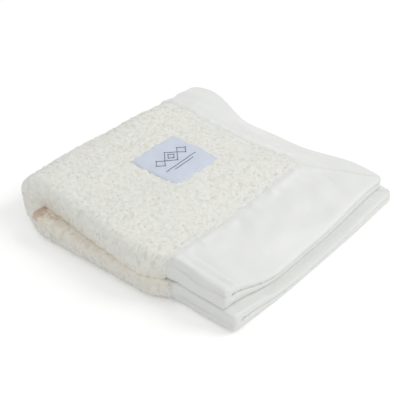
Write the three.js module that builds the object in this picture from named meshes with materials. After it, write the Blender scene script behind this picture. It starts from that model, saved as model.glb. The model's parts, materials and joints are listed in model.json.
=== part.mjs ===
// A square comfort blanket of sherpa fleece with a satin binding, folded in four and laid flat.
// Millimetres, +Z up. The object stands on z = 0, centred under its own box.
//
// The blanket is described flat, by u and v from its centre and by n from its back face to its
// pile face. The first fold is along v = 0, back to back. The second is along u = 0, like a book.
// Each piece is drawn on the flat blanket and carried through both folds by place().
import * as THREE from 'three';

// The flat blanket
const blanketSide = 350;
const bindingWidth = 52;
const fleeceThickness = 8.2;
const satinPly = 1;
const satinBelowPile = 0.4;
const seamPinch = 0.8;
const hemPinch = 1.2;
const marginDepth = 8;
const crownShare = 0.45;
const shoulderShare = 0.93;

// Air left between the folded layers
const foldAir = 1;
const creaseAir = 2;

// Clearances between sewn neighbours
const sewnClearance = 0.4;
const pileEdgeClearance = 0.3;
const mitreClearance = 0.3;
const labelClearance = 0.3;

// The length of flat cloth that turns with the second fold, and the slit beside it
const foldLead = 3;
const foldSlit = 1;

// The two axes that the second fold opens on: how far they lie inside its left edge's round,
// and how far from the lowest and the highest face
const axisSetback = 14;
const axisHeight = 14;

// How the layers slip over each other away from the second fold
const upperSlip = 1.7;
const lowerSlip = 5.8;
const slipReach = 80;
const upperHemDraw = 4.5;
const hemSwell = 1.5;
const hemSwellShares = [0.35, 0.8];

// How far the second fold bulges out, as shares of its radius at the front, seam and back
const frontBulgeShare = 0.62;
const seamBulgeShare = 0.03;
const backBulgeShare = 0.3;
const bulgeRiseShare = 0.17;

// How far the rolled front edge swells out of its straight line
const spineRollSwell = 2;
const lowerRollSwell = 15;
const upperRollSwell = 14;
const bindingRollSwell = 5;
const lowerSwellLead = 7;
const swellEase = 14;
const bindingSwellLead = 10;
const rollSwellDepth = 120;

// How the back border is drawn back at its seam and in at its hem
const backSeamShift = 7.5;
const backHemPull = 7.5;
const backHemDip = 7.5;
const backShiftShare = 0.33;
const hemDipShares = [0.5, 0.8, 1.2];

// How the stack sinks from the middle of the panel to its hems
const sideSinkLead = 35;
const backSinkLead = 24;
const sinkPower = 1.6;
const cornerPower = 3;
const frontSinkShare = 0.4;
const middleSinkShare = 0.7;
const farSinkShare = 0.5;
const leftSinkShare = 0.3;
const backSinkShare = 0.65;
const rightSinkShare = 0.47;
const sinkRiseShare = 0.4;
const sinkFallShare = 0.72;

// The woven label, its place on the panel and how far it is turned, in degrees
const labelSide = 43.5;
const labelThickness = 0.8;
const labelCorner = 1.5;
const labelAcrossShare = 0.446;
const labelBackShare = 0.55;
const labelTurn = -2;

// Grid steps of the cloth
const fieldStep = 15;
const bindingStep = 13;
const rollSteps = 4;
const spineSteps = 8;
const mitreSteps = 4;
const cornerSteps = 4;

// Sizes that follow from the folds
const quarterTurn = Math.PI / 2;
const halfSide = blanketSide / 2;
const seamLine = halfSide - bindingWidth;
const midPlane = fleeceThickness / 2;
const rollHalf = quarterTurn * (foldAir / 2 + midPlane);
const bookRadius = creaseAir / 2 + fleeceThickness + foldAir / 2;
const bookHalf = quarterTurn * bookRadius;
const stackHalf = bookRadius + foldAir / 2 + fleeceThickness;
const seamX = seamLine - bookHalf;
const hemX = halfSide - bookHalf;
const seamY = seamLine - rollHalf;
const hemY = halfSide - rollHalf;

// Half heights of the binding, and of the fleece margin sewn inside it
const loftHalf = midPlane - satinBelowPile;
const seamHalf = loftHalf - seamPinch;
const hemHalf = loftHalf - hemPinch;
const marginHalf = seamHalf - satinPly - sewnClearance;

const smooth = (value, low, high) => THREE.MathUtils.smoothstep(value, low, high);
const blend = (from, to, share) => from + (to - from) * share;

// The two folds

// Carries a point of the flat blanket through both folds, with the layers straight and level.
function foldPoint(u, v, n) {
  const point = { x: 0, y: 0, z: 0 };
  const ply = foldAir / 2 + n;
  let lift = Math.sign(v) * ply;
  if (Math.abs(v) <= rollHalf) {
    const roll = (v / rollHalf) * quarterTurn;
    lift = ply * Math.sin(roll);
    point.y = -ply * Math.cos(roll);
  } else {
    point.y = Math.abs(v) - rollHalf;
  }
  const radius = bookRadius + lift;
  if (Math.abs(u) <= bookHalf) {
    const turn = (u / bookHalf) * quarterTurn;
    point.x = -radius * Math.cos(turn);
    point.z = stackHalf + radius * Math.sin(turn);
  } else {
    point.x = Math.abs(u) - bookHalf;
    point.z = stackHalf + Math.sign(u) * radius;
  }
  return point;
}

// How far the front roll swells forward, along its length.
function rollSwell(u) {
  const along = Math.abs(u);
  const easeStart = bookHalf + seamX - swellEase;
  const easeEnd = bookHalf + seamX + bindingSwellLead;
  const reach = u < 0 ? bookHalf + lowerSwellLead : easeStart;
  const fullSwell = u < 0 ? lowerRollSwell : upperRollSwell;
  const swell = blend(spineRollSwell, fullSwell, smooth(along, 0, reach));
  return blend(swell, bindingRollSwell, smooth(along, easeStart, easeEnd));
}

// How far the second fold bulges out past its round shape, as a share of its radius.
function bulgeShare(y) {
  const seamEnd = seamY + backSeamShift;
  const toSeam = blend(frontBulgeShare, seamBulgeShare, smooth(y, seamY * bulgeRiseShare, seamEnd));
  return blend(toSeam, backBulgeShare, smooth(y, seamEnd, hemY));
}

// How far a place is over the border, from a lead before the seam to the hem, from 0 to 1.
function wayOver(at, seam, hem, lead) {
  return THREE.MathUtils.clamp((at - seam + lead) / (hem - seam + lead), 0, 1);
}

// The share of its full height that the stack keeps at a place.
function heightShare(x, y) {
  const toMiddle = smooth(y, -stackHalf, seamY * sinkRiseShare);
  const toFar = smooth(y, seamY * sinkFallShare, hemY);
  const sideShare = blend(blend(frontSinkShare, middleSinkShare, toMiddle), farSinkShare, toFar);
  const toBack = smooth(x, 0, seamX * sinkRiseShare);
  const toRight = smooth(x, seamX * sinkFallShare, hemX);
  const backShare = blend(blend(leftSinkShare, backSinkShare, toBack), rightSinkShare, toRight);
  const sideSink = sideShare * Math.pow(wayOver(x, seamX, hemX, sideSinkLead), sinkPower);
  const backSink = backShare * Math.pow(wayOver(y, seamY, hemY, backSinkLead), sinkPower);
  const bothSinks = Math.pow(sideSink, cornerPower) + Math.pow(backSink, cornerPower);
  return 1 - Math.pow(bothSinks, 1 / cornerPower);
}

// How far the hems of the back border are drawn in, most in the middle of the panel.
function hemPull(x) {
  const [rise, fall, end] = hemDipShares;
  const inDip = smooth(x, 0, seamX * rise) * (1 - smooth(x, seamX * fall, seamX * end));
  return backHemPull + backHemDip * inDip;
}

// Carries a point of the flat blanket to its place in the folded, settled stack.
function place(u, v, n) {
  const point = foldPoint(u, v, n);
  const rollShift = rollSwell(u) * (1 - smooth(Math.abs(v), 0, rollSwellDepth));
  const seamShift = backSeamShift * smooth(point.y, seamY * backShiftShare, seamY);
  const y = point.y - rollShift + seamShift - hemPull(point.x) * smooth(point.y, seamY, hemY);
  if (point.x < 0) {
    const x = point.x * (1 + bulgeShare(y));
    return [x, y, point.z * heightShare(x, y)];
  }
  const [rise, fall] = hemSwellShares;
  const alongHem = smooth(point.y, 0, seamY * rise) * (1 - smooth(point.y, seamY * fall, hemY));
  const slip = u > 0 ? upperSlip : lowerSlip;
  const draw = u > 0 ? upperHemDraw : 0;
  const hemShift = (hemSwell * alongHem - draw) * smooth(point.x, seamX, hemX);
  const x = point.x + slip * smooth(point.x, 0, slipReach) + hemShift;
  return [x, y, point.z * heightShare(x, y)];
}

// Where the slit beside the second fold lies at one point of the cloth, from the blanket's
// centre. It is round about the fold's axis, so that its two faces pass each other as it opens.
function slitStation(half, v, n, slitSide) {
  const height = place(half * (bookHalf + foldLead), v, n)[2];
  const rise = (half < 0 ? height : stackHalf * 2 - height) - axisHeight;
  const reach = Math.hypot(axisSetback + foldLead, axisHeight) + (slitSide * foldSlit) / 2;
  return bookHalf + Math.sqrt(reach * reach - rise * rise) - axisSetback;
}

// Places a point of one row. Only a row beside the slit has a slitSide: 1 on a half, -1 on the fold.
function placeInRow(u, v, n, slitSide) {
  const half = Math.sign(u);
  return place(slitSide ? half * slitStation(half, v, n, slitSide) : u, v, n);
}

// Closed sheets

// Makes a closed body from a grid of points on two faces, joined by a rim all round.
function sheetSolid(rows, columns, pointAt) {
  const positions = [];
  const triangles = [];
  const corner = (row, column, face) => (face * rows + row) * columns + column;
  const quad = (a, b, c, d) => triangles.push(a, b, c, a, c, d);
  for (const face of [0, 1]) {
    for (let row = 0; row < rows; row += 1) {
      for (let column = 0; column < columns; column += 1) {
        positions.push(...pointAt(row, column, face));
      }
    }
  }
  const lastRow = rows - 1;
  const lastColumn = columns - 1;
  for (let i = 0; i < lastRow; i += 1) {
    for (let j = 0; j < lastColumn; j += 1) {
      quad(corner(i, j, 1), corner(i + 1, j, 1), corner(i + 1, j + 1, 1), corner(i, j + 1, 1));
      quad(corner(i, j, 0), corner(i, j + 1, 0), corner(i + 1, j + 1, 0), corner(i + 1, j, 0));
    }
    quad(corner(i, 0, 0), corner(i + 1, 0, 0), corner(i + 1, 0, 1), corner(i, 0, 1));
    const end = lastColumn;
    quad(corner(i, end, 0), corner(i, end, 1), corner(i + 1, end, 1), corner(i + 1, end, 0));
  }
  for (let j = 0; j < lastColumn; j += 1) {
    quad(corner(0, j, 0), corner(0, j, 1), corner(0, j + 1, 1), corner(0, j + 1, 0));
    const end = lastRow;
    quad(corner(end, j, 0), corner(end, j + 1, 0), corner(end, j + 1, 1), corner(end, j, 1));
  }
  if (signedVolume(positions, triangles) < 0) {
    triangles.reverse();
  }
  const geometry = new THREE.BufferGeometry();
  geometry.setAttribute('position', new THREE.Float32BufferAttribute(positions, 3));
  geometry.setIndex(triangles);
  geometry.computeVertexNormals();
  return geometry;
}

// Six times the volume that the triangles enclose, negative when they face inwards.
function signedVolume(positions, triangles) {
  const vertex = (index) => new THREE.Vector3().fromArray(positions, index * 3);
  let total = 0;
  for (let i = 0; i < triangles.length; i += 3) {
    const a = vertex(triangles[i]);
    total += a.dot(vertex(triangles[i + 1]).cross(vertex(triangles[i + 2])));
  }
  return total;
}

// Even stations from one place to another, both included.
function evenStations(from, to, count) {
  return Array.from({ length: count + 1 }, (_, i) => blend(from, to, i / count));
}

function steppedStations(from, to, step) {
  return evenStations(from, to, Math.max(1, Math.round((to - from) / step)));
}

// Half of the stations across the first fold, from its roll to just short of the seam.
function fieldAcross() {
  const roll = evenStations(0, rollHalf, rollSteps);
  const flat = steppedStations(rollHalf, seamLine - pileEdgeClearance * 2, fieldStep);
  return [...roll, ...flat.slice(1)];
}

// Stations of one half of the blanket, from the slit beside the second fold to the seam.
function fieldAlong() {
  return steppedStations(bookHalf + foldLead, seamLine - pileEdgeClearance * 2, fieldStep);
}

// Stations of the second fold, with its short flat leads up to both slits.
function spineAlong() {
  const slit = bookHalf + foldLead;
  return [-slit, ...evenStations(-bookHalf, bookHalf, spineSteps), slit];
}

// The fleece panel

// Marks the stations that follow the slit beside the second fold.
function besideSlit(stations, slitSide) {
  const follows = (at) => Math.abs(at) === bookHalf + foldLead;
  return stations.map((station) => ({ ...station, slitSide: follows(station.at) ? slitSide : 0 }));
}

// Adds the thin sewn margin beyond the last pile station.
function withMargin(stations) {
  const pile = stations.map((at) => ({ at, inMargin: false }));
  const start = { at: seamLine - pileEdgeClearance, inMargin: true };
  const end = { at: seamLine + marginDepth, inMargin: true };
  return [...pile, start, end];
}

function mirroredMargin(stations) {
  const half = withMargin(stations);
  const other = half.slice(1).reverse().map(({ at, inMargin }) => ({ at: -at, inMargin }));
  return [...other, ...half];
}

// A panel of fleece: full pile in its field, pressed thin where the binding holds it.
function fleecePanel(along, across) {
  return sheetSolid(along.length, across.length, (row, column, face) => {
    const u = along[row];
    const v = across[column];
    const thin = u.inMargin || v.inMargin;
    const marginFace = midPlane + (face ? marginHalf : -marginHalf);
    const pileFace = face ? fleeceThickness : 0;
    return placeInRow(u.at, v.at, thin ? marginFace : pileFace, u.slitSide);
  });
}

// The satin binding

// The folded ribbon's section, from its upper sewn edge over the hem to its lower one:
// the distance from the seam and the height off the mid-plane, on its outer or inner face.
function ribbonSection(face) {
  const ply = face ? 0 : satinPly;
  const upper = [
    { across: 0, height: seamHalf - ply },
    { across: marginDepth, height: (seamHalf + loftHalf) / 2 - ply },
    { across: bindingWidth * crownShare, height: loftHalf - ply },
    { across: bindingWidth * shoulderShare - ply / 2, height: hemHalf - ply },
  ];
  const tip = { across: bindingWidth - ply, height: 0 };
  const lower = upper.map(({ across, height }) => ({ across, height: -height })).reverse();
  return [...upper, tip, ...lower];
}

// A ribbon along one edge. Past its fixed stations it runs out to the mitre at its corner, where
// a station's place depends on how far across the ribbon it lies.
function ribbon(stations, pointFrom) {
  const sections = [ribbonSection(0), ribbonSection(1)];
  return sheetSolid(stations.length, sections[0].length, (row, column, face) => {
    const { across, height } = sections[face][column];
    const station = stations[row];
    const mitreEnd = seamLine + across - mitreClearance;
    const fixed = Math.abs(station.at);
    const at = Math.sign(station.at) * blend(fixed, mitreEnd, station.toMitre);
    return pointFrom(at, seamLine + across, midPlane + height, station.slitSide);
  });
}

const fixedStations = (stations) => stations.map((at) => ({ at, toMitre: 0 }));

// Stations that end in a mitre at their far end.
function mitredStations(stations) {
  const fixed = stations.slice(0, -1);
  const last = fixed[fixed.length - 1];
  const run = evenStations(0, 1, mitreSteps).slice(1);
  return [...fixedStations(fixed), ...run.map((toMitre) => ({ at: last, toMitre }))];
}

function mirroredMitre(stations) {
  const half = mitredStations(stations);
  const other = half.slice(1).reverse().map(({ at, toMitre }) => ({ at: -at, toMitre }));
  return [...other, ...half];
}

function bindingAcross() {
  const roll = evenStations(0, rollHalf, rollSteps);
  const flat = steppedStations(rollHalf, seamLine - pileEdgeClearance * 2, bindingStep);
  return [...roll, ...flat.slice(1)];
}

function bindingAlong() {
  return steppedStations(bookHalf + foldLead, seamLine - pileEdgeClearance * 2, bindingStep);
}

// A binding on a hem that faces away from the second fold.
function endBinding(half) {
  const stations = mirroredMitre(bindingAcross());
  return ribbon(stations, (at, out, n) => place(half * out, at, n));
}

// A binding along a hem that the second fold crosses, on one side of the first fold.
function sideBinding(stations, half, side) {
  return ribbon(stations, (at, out, n, slitSide) => placeInRow(half * at, side * out, n, slitSide));
}

// The woven label

// A flat square with softened corners that lies on the upper panel.
function wovenLabel() {
  const side = labelSide / 2 - labelCorner;
  const outline = new THREE.Shape();
  outline.absarc(side, side, labelCorner, 0, quarterTurn);
  outline.absarc(-side, side, labelCorner, quarterTurn, quarterTurn * 2);
  outline.absarc(-side, -side, labelCorner, quarterTurn * 2, quarterTurn * 3);
  outline.absarc(side, -side, labelCorner, quarterTurn * 3, quarterTurn * 4);
  const settings = { depth: labelThickness, bevelEnabled: false, curveSegments: cornerSteps };
  return new THREE.ExtrudeGeometry(outline, settings);
}

// Materials

const fleece = () => new THREE.MeshStandardMaterial({ color: 0xe9e5dc, roughness: 0.95, metalness: 0 });
const satin = () => new THREE.MeshStandardMaterial({ color: 0xe6e9e6, roughness: 0.35, metalness: 0 });
const weave = () => new THREE.MeshStandardMaterial({ color: 0xcdd5e6, roughness: 0.7, metalness: 0 });

// Assembly

function addPiece(group, name, geometry, material) {
  const mesh = new THREE.Mesh(geometry, material);
  mesh.name = name;
  group.add(mesh);
  return mesh;
}

function addHalf(group, label, half) {
  const rows = besideSlit(withMargin(fieldAlong()), 1);
  const along = rows.map((station) => ({ ...station, at: half * station.at }));
  const side = besideSlit(mitredStations(bindingAlong()), 1);
  addPiece(group, `sherpa_${label}`, fleecePanel(along, mirroredMargin(fieldAcross())), fleece());
  addPiece(group, `end_binding_${label}`, endBinding(half), satin());
  addPiece(group, `side_binding_outer_${label}`, sideBinding(side, half, 1), satin());
  addPiece(group, `side_binding_inner_${label}`, sideBinding(side, half, -1), satin());
}

function addFold(group) {
  const along = besideSlit(spineAlong().map((at) => ({ at, inMargin: false })), -1);
  const side = besideSlit(fixedStations(spineAlong()), -1);
  addPiece(group, 'sherpa_fold', fleecePanel(along, mirroredMargin(fieldAcross())), fleece());
  addPiece(group, 'side_binding_outer_fold', sideBinding(side, 1, 1), satin());
  addPiece(group, 'side_binding_inner_fold', sideBinding(side, 1, -1), satin());
}

function addLabel(group) {
  const label = addPiece(group, 'woven_label', wovenLabel(), weave());
  const top = stackHalf * 2 + labelClearance;
  label.position.set(seamX * labelAcrossShare, (seamY + backSeamShift) * labelBackShare, top);
  label.rotation.z = THREE.MathUtils.degToRad(labelTurn);
}

const blanket = new THREE.Group();
addHalf(blanket, 'lower', -1);
addFold(blanket);
addHalf(blanket, 'upper', 1);
addLabel(blanket);

const extent = new THREE.Box3().setFromObject(blanket);
const middle = extent.getCenter(new THREE.Vector3());
blanket.position.set(-middle.x, -middle.y, -extent.min.z);

export default blanket;
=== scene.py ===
# A sherpa comfort blanket with a satin binding, folded in four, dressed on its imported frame.
# The cloth is drawn flat, in millimetres, and carried through both folds as its solids are.
import json
import math

import bpy
import numpy as np
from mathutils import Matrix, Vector

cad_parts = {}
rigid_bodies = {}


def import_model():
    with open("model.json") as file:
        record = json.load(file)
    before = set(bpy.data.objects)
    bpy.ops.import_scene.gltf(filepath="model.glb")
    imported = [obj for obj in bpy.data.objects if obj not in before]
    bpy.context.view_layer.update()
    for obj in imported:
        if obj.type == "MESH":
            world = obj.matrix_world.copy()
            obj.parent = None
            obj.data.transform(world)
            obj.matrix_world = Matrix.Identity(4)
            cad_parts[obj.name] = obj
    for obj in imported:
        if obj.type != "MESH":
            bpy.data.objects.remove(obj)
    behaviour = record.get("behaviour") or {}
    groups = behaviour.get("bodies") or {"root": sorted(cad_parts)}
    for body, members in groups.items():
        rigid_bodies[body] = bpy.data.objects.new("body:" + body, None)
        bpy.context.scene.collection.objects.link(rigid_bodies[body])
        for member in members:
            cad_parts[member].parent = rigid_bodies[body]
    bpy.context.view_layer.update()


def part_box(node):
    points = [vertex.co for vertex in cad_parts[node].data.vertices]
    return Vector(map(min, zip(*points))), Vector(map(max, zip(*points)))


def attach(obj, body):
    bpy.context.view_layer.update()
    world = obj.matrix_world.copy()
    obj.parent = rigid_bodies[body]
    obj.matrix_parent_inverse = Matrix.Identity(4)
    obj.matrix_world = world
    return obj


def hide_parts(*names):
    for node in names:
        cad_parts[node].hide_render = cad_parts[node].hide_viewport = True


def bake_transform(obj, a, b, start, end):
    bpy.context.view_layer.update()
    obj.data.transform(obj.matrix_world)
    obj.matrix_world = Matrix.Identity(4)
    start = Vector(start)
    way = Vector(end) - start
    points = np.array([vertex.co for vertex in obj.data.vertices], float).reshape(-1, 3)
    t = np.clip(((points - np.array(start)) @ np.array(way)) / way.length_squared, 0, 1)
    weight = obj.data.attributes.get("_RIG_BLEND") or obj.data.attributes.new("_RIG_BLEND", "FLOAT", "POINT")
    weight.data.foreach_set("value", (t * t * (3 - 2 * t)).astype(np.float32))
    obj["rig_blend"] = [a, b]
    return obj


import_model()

MM = 0.001

# The flat blanket, as in its solids
BLANKET_SIDE = 350.0
BINDING_WIDTH = 52.0
FLEECE_THICKNESS = 8.2
SATIN_BELOW_PILE = 0.4
SEAM_PINCH = 0.8
HEM_PINCH = 1.2
MARGIN_DEPTH = 8.0
FOLD_AIR = 1.0
CREASE_AIR = 2.0
FOLD_LEAD = 3.0

# How the folded stack settles, as in its solids
UPPER_SLIP = 1.7
LOWER_SLIP = 5.8
SLIP_REACH = 80.0
UPPER_HEM_DRAW = 4.5
HEM_SWELL = 1.5
HEM_SWELL_SHARES = (0.35, 0.8)
FRONT_BULGE_SHARE = 0.62
SEAM_BULGE_SHARE = 0.03
BACK_BULGE_SHARE = 0.3
BULGE_RISE_SHARE = 0.17
SPINE_ROLL_SWELL = 2.0
LOWER_ROLL_SWELL = 15.0
UPPER_ROLL_SWELL = 14.0
BINDING_ROLL_SWELL = 5.0
LOWER_SWELL_LEAD = 7.0
SWELL_EASE = 14.0
BINDING_SWELL_LEAD = 10.0
ROLL_SWELL_DEPTH = 120.0
BACK_SEAM_SHIFT = 7.5
BACK_HEM_PULL = 7.5
BACK_HEM_DIP = 7.5
BACK_SHIFT_SHARE = 0.33
HEM_DIP_SHARES = (0.5, 0.8, 1.2)
SIDE_SINK_LEAD = 35.0
BACK_SINK_LEAD = 24.0
SINK_POWER = 1.6
CORNER_POWER = 3.0
FRONT_SINK_SHARE = 0.2
MIDDLE_SINK_SHARE = 0.7
FAR_SINK_SHARE = 0.5
LEFT_SINK_SHARE = 0.3
BACK_SINK_SHARE = 0.65
RIGHT_SINK_SHARE = 0.47
SINK_RISE_SHARE = 0.4
SINK_FALL_SHARE = 0.72

# The label, as in its solid
LABEL_SIDE = 43.5
LABEL_ACROSS_SHARE = 0.446
LABEL_BACK_SHARE = 0.55
LABEL_TURN = math.radians(-2)
LABEL_CLEARANCE = 0.3

# Small hills and hollows that only the visual shows
UNEVEN_SHARE = 0.018
UNEVEN_LENGTH = 42.0
CORNER_FULLNESS = 3.0
CORNER_MIDDLE = (-14.0, -4.0)
CORNER_REACH = (25.0, 22.0)

# The pile: its tufts, its edge under the satin, and its curls
PILE_LOW = 6.7
PILE_HIGH = 8.1
TUFT_PITCH = 2.6
TUFT_REACH = (0.7, 1.15)
TUFT_HEIGHT = (0.65, 1.0)
TUFT_SLANT = 0.5
FINE_TUFT_PITCH_SHARE = 0.55
FINE_TUFT_SHARE = 0.28
TUFT_WANDER = 0.7
TUFT_WANDER_LENGTH = 5.0
PILE_PAST_SEAM = 1.0
PILE_EDGE_WANDER = 1.1
PILE_EDGE_LENGTH = 6.0
PILE_EDGE_FALL = 1.5
TUCKED_LEAD = 1.2
TUCKED_HALF = 1.2
WISP_KINDS = 8
WISP_SPACING = 1.7
WISP_MOST_SHARE = 1.6
WISP_SIZE = 1.0
WISP_LEAN = 0.22
WISP_RADII = (0.15, 0.18, 0.18, 0.16, 0.14, 0.1, 0.05)
WISP_REACH = (0.8, 1.3)
WISP_SWING = (2.4, 5.0)
WISP_SUNK = 0.46
WISP_RISE = 0.55
WISP_TIP_SHARE = 0.9
WISPS_PAST_SEAM = 1.4

# Where the two halves press on each other
ROLL_SWELL = 0.5
SWELL_COMES = (-2.5, 1.5)
PILE_POWER = 12.0
PILE_PRESS = 1.3
PILE_UNEVEN = 0.35
PILE_LOCK = 1.5
LOCK_REACH = 12.0
LOCK_WANDER = 0.9
PILE_CLEARANCE = 0.08
CREASE_END = (14.0, 36.0)

# Painted shade in the crease, a warmer and darker tone on the pile: each part's share of it, and the depths
# where it comes or goes
VALLEY_SHADE = 0.3
VALLEY_GONE = (14.0, 26.0)
LOWER_FACE_SHADE = 0.12
LOWER_FACE_COMES = (-10.0, 2.0)
LOWER_FACE_GONE = (4.0, 14.0)
CREASE_END_LEAD = 6.0
CREASE_END_REACH = 20.0
CREASE_END_INSIDE = (6.0, 18.0)
CREASE_END_COMES = (1.0, 5.0)
CREASE_END_GONE = (7.0, 15.0)

# The satin
SATIN_PLY = 0.5
SATIN_POWER = 12.0
SATIN_MEET = -0.08
SATIN_CLEARANCE = 0.08
SATIN_PRESSED = (-2.5, 3.5)
ROLL_PRESS_GONE = (12.0, 26.0)
HEM_PRESSED = (6.0, 24.0)
RIDGE_POWER = 3.0
SATIN_PAST_SEAM = 1.5
CROWN_WIDTH = 7.0
HEM_COMES = (24.0, 48.0)
HEM_FULLNESS = (0.8, 0.78)
HEM_ROUND = 2.0
HEM_CORNER_ROUND = 6.5
MITRE_GAP = 0.05
MITRE_DIP = 0.3
MITRE_DIP_REACH = 1.3
FLAT_AT_MITRE = 9.0
STITCHES_FROM_SEAM = 2.6
STITCH_DIP = 0.15
STITCH_DIP_REACH = 1.0
STITCH_LIFT = 0.1

# The satin's small relief, each kind as its height, its length along the seam and that length's
# share across it
PUCKERS = (1.0, 7.0, 0.22)
PUCKER_REACH = 11.0
GATHERS = (0.8, 17.0, 0.12)
GATHER_REACH = 26.0
WAVES = (0.9, 27.0, 1.0)
WAVES_COME = (4.0, 18.0)
WAVES_GO = (38.0, BINDING_WIDTH - 2)
WRINKLES = (0.5, 22.0, 0.7)
WRINKLE_WIDTH = 0.16
WRINKLE_PATCHES = (1.0, 34.0, 1.0)
BEADS = (0.8, 6.0, 0.15)
BEAD_FULLNESS = 0.8
BEAD_MIDDLE = 5.4
BEAD_REACH = 3.0
PLEATS = (1.5, 6.0, 0.05)
SHARP_PLEATS = (1.1, 9.0, 0.04)
SHARP_PLEAT_WIDTH = 0.2
PLEAT_REACH = 15.0
PLEAT_ROLL = (12.0, 30.0)
FACE_SHIFT = 40.0
SIDE_RELIEF_SHARE = 0.65
INSIDE_RELIEF_SHARE = 0.5
INSIDE_COMES = (12.0, 30.0)

# The label's own small shapes, and the plain ornament on it
LABEL_FACES = (-0.1, 0.35)
LABEL_RIPPLE = 0.22
LABEL_RIPPLE_LENGTH = 13.0
LABEL_EDGE_DIP = 1.3
LABEL_EDGE_REACH = 1.5
LABEL_OVERLAP = 0.3
LABEL_SEAM_INSET = 1.3
LABEL_SEAM_LIFT = 0.4
MOTIF_LIFT = 0.42
MOTIF_RHOMBI = ((-10.5, 4.2), (0.0, 6.2), (10.5, 4.2), (0.0, 2.8))
MOTIF_RHOMBI_BACK = 3.5
MOTIF_LINES = ((6.0, 14.5), (8.6, 9.0))

# Threads, each as its pitch, its stitch's length and its thickness
BORDER_THREAD = (2.9, 2.4, 0.45)
LABEL_THREAD = (1.9, 1.5, 0.4)
MOTIF_THREAD = (0.9, 1.15, 0.55)
STITCH_RADII = (0.16, 0.42, 0.5, 0.42, 0.16)

# How far apart the points of the meshes are
BOOK_STEP = 0.45
ROLL_STEP = 0.42
PILE_STEP = 0.72
TUCKED_STEP = 3.0
FOLD_START = (0.2, 0.1)
WISP_STEPS = (0.8, 1.0)
RIBBON_STEPS = (0.5, 0.8, 1.3)
SECTION_STEPS = ((HEM_ROUND, 1.25), (0.8, 0.6), (0.0, 0.27))
MITRE_ROWS = 38

# Height of the lowest cloth above the floor
FLOOR_CLEARANCE = 0.05

# The photograph's viewing angle, with lengths in millimetres
CAMERA_AZIMUTH = math.radians(39.09)
CAMERA_ELEVATION = math.radians(37.57)
CAMERA_DISTANCE = 900.0
CAMERA_TARGET = np.array([82.7, 61.5, 15.0])
CAMERA_FOCUS_PIXELS = 1316.6
IMAGE_PIXELS = 416
SENSOR = 36.0

# The floor's half width in metres, and its light and the sky's as strengths
FLOOR_HALF = 3.0
FLOOR_GLOW = 0.2
SKY_LEVEL = 0.6

# The lamps: each one's place and width in metres, and its power in watts
LAMP_AIM = (0.0, 0.0, 0.02)
LAMPS = {
    "key": ((0.75, 0.75, 1.15), 0.9, 7.1),
    "fill": ((0.9, -0.9, 0.9), 1.2, 1.1),
    "top": ((-0.55, -0.25, 1.0), 0.7, 0.9),
}

# Sizes that follow from the folds
HALF_SIDE = BLANKET_SIDE / 2
SEAM_LINE = HALF_SIDE - BINDING_WIDTH
MID_PLANE = FLEECE_THICKNESS / 2
ROLL_HALF = math.pi / 2 * (FOLD_AIR / 2 + MID_PLANE)
BOOK_RADIUS = CREASE_AIR / 2 + FLEECE_THICKNESS + FOLD_AIR / 2
BOOK_HALF = math.pi / 2 * BOOK_RADIUS
STACK_HALF = BOOK_RADIUS + FOLD_AIR / 2 + FLEECE_THICKNESS
SEAM_X = SEAM_LINE - BOOK_HALF
HEM_X = HALF_SIDE - BOOK_HALF
SEAM_Y = SEAM_LINE - ROLL_HALF
HEM_Y = HALF_SIDE - ROLL_HALF
LOFT_HALF = MID_PLANE - SATIN_BELOW_PILE
SEAM_HALF = LOFT_HALF - SEAM_PINCH
HEM_HALF = LOFT_HALF - HEM_PINCH
PILE_END = SEAM_LINE + 2.8
RIBBON_END = SEAM_LINE - 2.0
NEAR_TOP = STACK_HALF * 1.7
LABEL_MIDDLE = np.array(
    [SEAM_X * LABEL_ACROSS_SHARE, (SEAM_Y + BACK_SEAM_SHIFT) * LABEL_BACK_SHARE]
)

# From the fold's own coordinates to the part's, found by where the label lies
low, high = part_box("woven_label")
label_at = np.array([low.x + high.x, low.y + high.y]) / 2 / MM
OFFSET = np.array([*(label_at - LABEL_MIDDLE), 0.0])


# ---- shares and patterns
def smooth(value, start, end):
    share = np.clip((value - start) / (end - start), 0, 1)
    return share * share * (3 - 2 * share)


def mix(a, b, share):
    return a + (b - a) * share


def bell(distance, reach):
    return np.exp(-((distance / reach) ** 2))


def soft_noise(a, b, length, seed, waves=9):
    """A smooth pattern over two flat coordinates, about -1 to 1, of that wavelength in mm."""
    chance = np.random.default_rng(seed)
    total = np.zeros(np.broadcast(a, b).shape)
    for _ in range(waves):
        heading = chance.uniform(0, 2 * math.pi)
        span = length * chance.uniform(0.7, 1.5)
        phase = chance.uniform(0, 2 * math.pi)
        along = a * math.cos(heading) + b * math.sin(heading)
        total += np.sin(along * 2 * math.pi / span + phase)
    return total / math.sqrt(waves) * 0.9


def tufts(a, b, pitch, seed):
    """Rounded tufts that overlap like brushed wool, 0 in their hollows to 1 at their tops."""
    table = np.random.default_rng(seed).uniform(size=(4, 256, 256))
    cell_a, cell_b = np.floor(a / pitch).astype(int), np.floor(b / pitch).astype(int)
    highest = np.zeros(a.shape)
    for i in (-1, 0, 1):
        for j in (-1, 0, 1):
            at_a, at_b, size, lean = table[:, (cell_a + i) % 256, (cell_b + j) % 256]
            from_a = a / pitch - cell_a - i - at_a
            from_b = b / pitch - cell_b - j - at_b
            dome = 1 - (from_a**2 + from_b**2) / mix(*TUFT_REACH, size) ** 2
            slope = from_a * np.cos(lean * 2 * math.pi) + from_b * np.sin(lean * 2 * math.pi)
            highest = np.maximum(highest, (dome + TUFT_SLANT * slope) * mix(*TUFT_HEIGHT, size))
    return np.clip(highest, 0, 1)


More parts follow.
